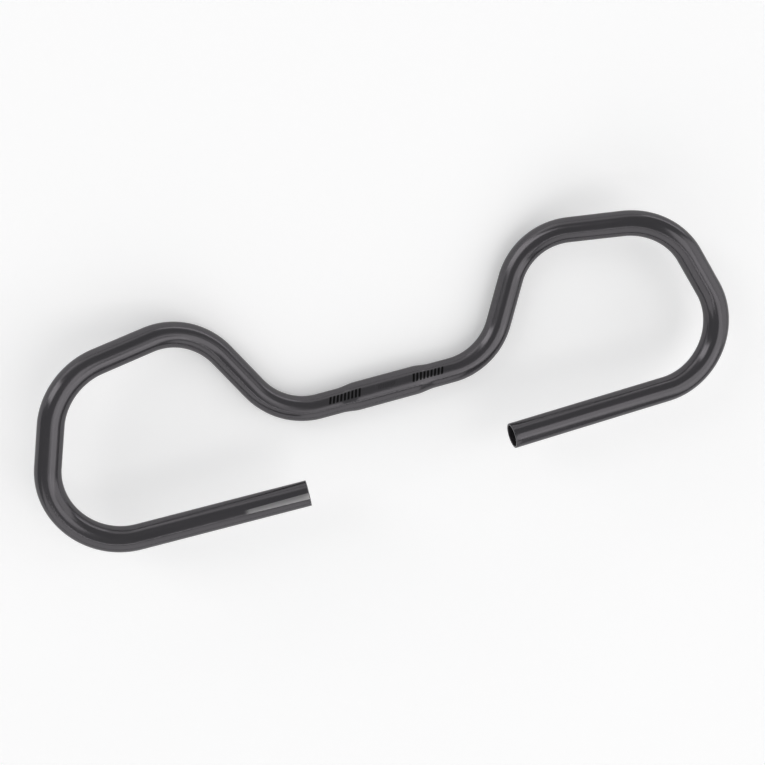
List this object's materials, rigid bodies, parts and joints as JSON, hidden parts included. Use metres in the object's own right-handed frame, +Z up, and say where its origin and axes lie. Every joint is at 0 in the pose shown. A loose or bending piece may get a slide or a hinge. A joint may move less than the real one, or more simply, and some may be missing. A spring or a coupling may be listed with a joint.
{
  "type": "trekking handlebar",
  "caption": "One-piece bent tube handlebar for a trekking bicycle, with a bulged clamp zone in the middle and a loop on each side that ends in a straight open grip.",
  "frame": {"origin": "middle of the clamp zone, on the tube's axis", "axes": "+X along the clamp zone to the rider's right, +Y forwards, +Z up, with the two legs beside the clamp zone level"},
  "size_m": [0.6146, 0.1791, 0.0724],
  "materials": {
    "anodised_tube": "satin dark grey anodised tube, drawn and bent, with fine lengthwise lines"
  },
  "bodies": {
    "root": {"handlebar_tube": "anodised_tube"}
  },
  "joints": []
}
